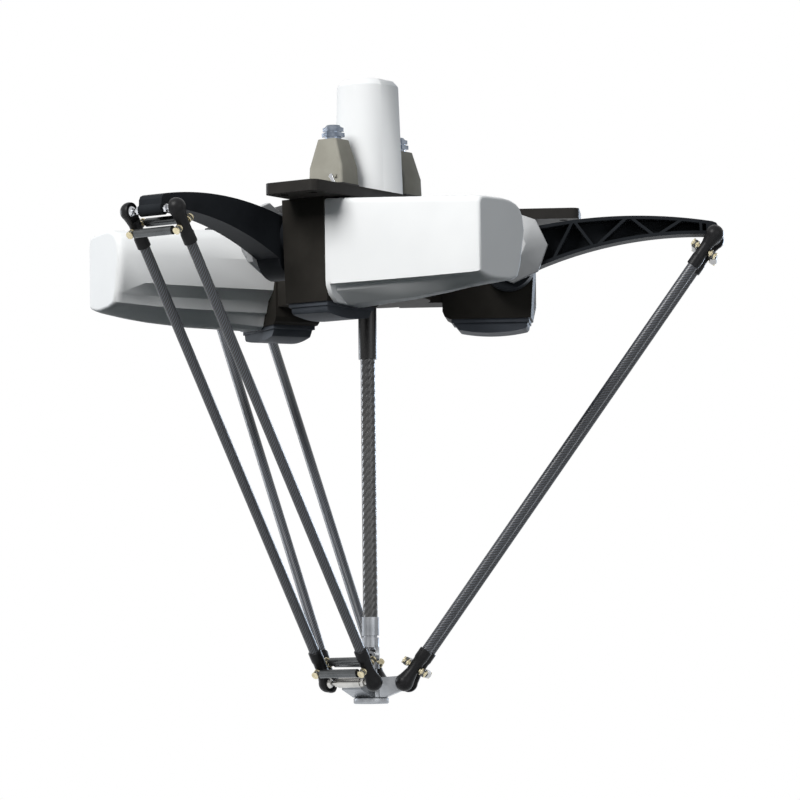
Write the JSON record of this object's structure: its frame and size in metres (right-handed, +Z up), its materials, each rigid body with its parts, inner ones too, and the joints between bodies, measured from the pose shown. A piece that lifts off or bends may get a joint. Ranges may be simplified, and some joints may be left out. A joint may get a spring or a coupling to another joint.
{
  "type": "delta robot",
  "caption": "Ceiling-hung delta robot: ribbed upper arms on covered servo drives, paired carbon rods with ball joints, a small platform and a turning tool flange.",
  "frame": {"origin": "centre of the top plate, at the height of its upper face, on the line the tool turns about", "axes": "+Z up, towards the frame the robot hangs from; +X along the arm of bearing 0; +Y completes a right-handed frame"},
  "size_m": [0.9489, 0.963, 0.926],
  "materials": {
    "cover_white": "smooth gloss moulding, white",
    "case_dark": "satin powder coat, dark brown-grey",
    "plate_dark": "satin powder coat, dark grey",
    "arm_black": "satin coat on a casting, near black",
    "cap_grey": "satin, light grey",
    "carbon": "wound carbon fibre under clear resin",
    "carbon_tube": "wound carbon fibre, silver-grey twill",
    "socket_black": "fine matt moulding, black",
    "spring_steel": "dark drawn steel tube",
    "bright_steel": "ground and polished",
    "shot_aluminium": "fine bead blast",
    "sleeve_dark": "dark satin tube",
    "hood_grey": "satin die casting, warm grey",
    "base_grey": "matt moulding, dark grey",
    "gland_nickel": "nickel plated, semi-bright",
    "lever_steel": "bright stamped steel",
    "screw_steel": "zinc plated steel",
    "motor_black": "satin black",
    "unit_steel": "machined steel"
  },
  "bodies": {
    "base": {"top_plate": "plate_dark", "base_hub": "case_dark", "gear_case_a": "case_dark", "gear_case_b": "case_dark", "gear_case_c": "case_dark", "motor_cover_a": "cover_white", "motor_cover_b": "cover_white", "motor_cover_c": "cover_white", "servo_motor_a": "motor_black", "servo_motor_b": "motor_black", "servo_motor_c": "motor_black", "gear_unit_a": "unit_steel", "gear_unit_b": "unit_steel", "gear_unit_c": "unit_steel", "tower_cover": "cover_white", "tower_motor": "motor_black", "shaft_bearing": "unit_steel", "connector_base_front": "base_grey", "connector_base_rear": "base_grey", "connector_hood_front": "hood_grey", "connector_hood_rear": "hood_grey", "cable_gland_front": "gland_nickel", "cable_gland_rear": "gland_nickel", "plate_screws": "screw_steel", "motor_screws": "screw_steel"},
    "latch_front": {"latch_lever_front": "lever_steel"},
    "latch_rear": {"latch_lever_rear": "lever_steel"},
    "arm_a": {"upper_arm_a": "arm_black", "output_shaft_a": "unit_steel", "hub_cap_a": "cap_grey", "elbow_studs_a": "bright_steel"},
    "arm_b": {"upper_arm_b": "arm_black", "output_shaft_b": "unit_steel", "hub_cap_b": "cap_grey", "elbow_studs_b": "bright_steel"},
    "arm_c": {"upper_arm_c": "arm_black", "output_shaft_c": "unit_steel", "hub_cap_c": "cap_grey", "elbow_studs_c": "bright_steel"},
    "forearm_a": {"rods_a": "carbon", "ball_sockets_a": "socket_black", "springs_a": "spring_steel", "lower_bar_a": "bright_steel"},
    "forearm_b": {"rods_b": "carbon", "ball_sockets_b": "socket_black", "springs_b": "spring_steel", "lower_bar_b": "bright_steel"},
    "forearm_c": {"rods_c": "carbon", "ball_sockets_c": "socket_black", "springs_c": "spring_steel", "lower_bar_c": "bright_steel"},
    "platform": {"platform": "shot_aluminium", "platform_bearing": "unit_steel"},
    "tool": {"drive_tube": "carbon_tube", "upper_yoke": "shot_aluminium", "joint_cross": "bright_steel", "tool_flange": "shot_aluminium"},
    "sleeve": {"shaft_sleeve": "sleeve_dark"}
  },
  "joints": [
    {"name": "arm_a_swing", "type": "hinge", "parent": "base", "child": "arm_a", "pos_m": [-0.1085, -0.18793, -0.0655], "axis": [0.866, -0.5, 0], "range_deg": [0, 35]},
    {"name": "arm_b_swing", "type": "hinge", "parent": "base", "child": "arm_b", "pos_m": [0.217, 0, -0.0655], "axis": [0, 1, 0], "range_deg": [0, 35.01]},
    {"name": "arm_c_swing", "type": "hinge", "parent": "base", "child": "arm_c", "pos_m": [-0.1085, 0.18793, -0.0655], "axis": [-0.866, -0.5, 0], "range_deg": [0, 35.01]},
    {"name": "forearm_a_swing", "type": "hinge", "parent": "arm_a", "child": "forearm_a", "pos_m": [-0.25839, -0.44754, -0.05398], "axis": [0.866, -0.5, 0], "range_deg": [-39.11, 0]},
    {"name": "forearm_b_swing", "type": "hinge", "parent": "arm_b", "child": "forearm_b", "pos_m": [0.51678, 0, -0.05398], "axis": [0, 1, 0], "range_deg": [-39.11, 0]},
    {"name": "forearm_c_swing", "type": "hinge", "parent": "arm_c", "child": "forearm_c", "pos_m": [-0.25839, 0.44754, -0.05398], "axis": [-0.866, -0.5, 0], "range_deg": [-39.11, 0]},
    {"name": "platform_lift", "type": "slide", "parent": "base", "child": "platform", "axis": [0, 0, -1], "range_m": [0, 0.20566]},
    {"name": "sleeve_spin", "type": "hinge", "parent": "base", "child": "sleeve", "pos_m": [0, 0, -0.2], "axis": [0, 0, 1], "continuous": true},
    {"name": "tool_spin", "type": "hinge", "parent": "platform", "child": "tool", "pos_m": [0, 0, -0.70548], "axis": [0, 0, 1], "continuous": true},
    {"name": "latch_front_swing", "type": "hinge", "parent": "base", "child": "latch_front", "pos_m": [-0.02072, -0.08388, 0.0143], "axis": [-0.5, -0.866, 0], "range_deg": [0, 62]},
    {"name": "latch_rear_swing", "type": "hinge", "parent": "base", "child": "latch_rear", "pos_m": [0.02072, 0.08388, 0.0143], "axis": [0.5, 0.866, 0], "range_deg": [0, 62]}
  ],
  "couplings": [
    {"joint": "arm_b_swing", "follows": "arm_a_swing", "ratio": 1},
    {"joint": "arm_c_swing", "follows": "arm_a_swing", "ratio": 1},
    {"joint": "forearm_a_swing", "follows": "arm_a_swing", "ratio": -1.1168},
    {"joint": "forearm_b_swing", "follows": "arm_a_swing", "ratio": -1.1168},
    {"joint": "forearm_c_swing", "follows": "arm_a_swing", "ratio": -1.1168},
    {"joint": "platform_lift", "follows": "arm_a_swing", "m_per_rad": 0.33634},
    {"joint": "tool_spin", "follows": "sleeve_spin", "ratio": 1}
  ]
}
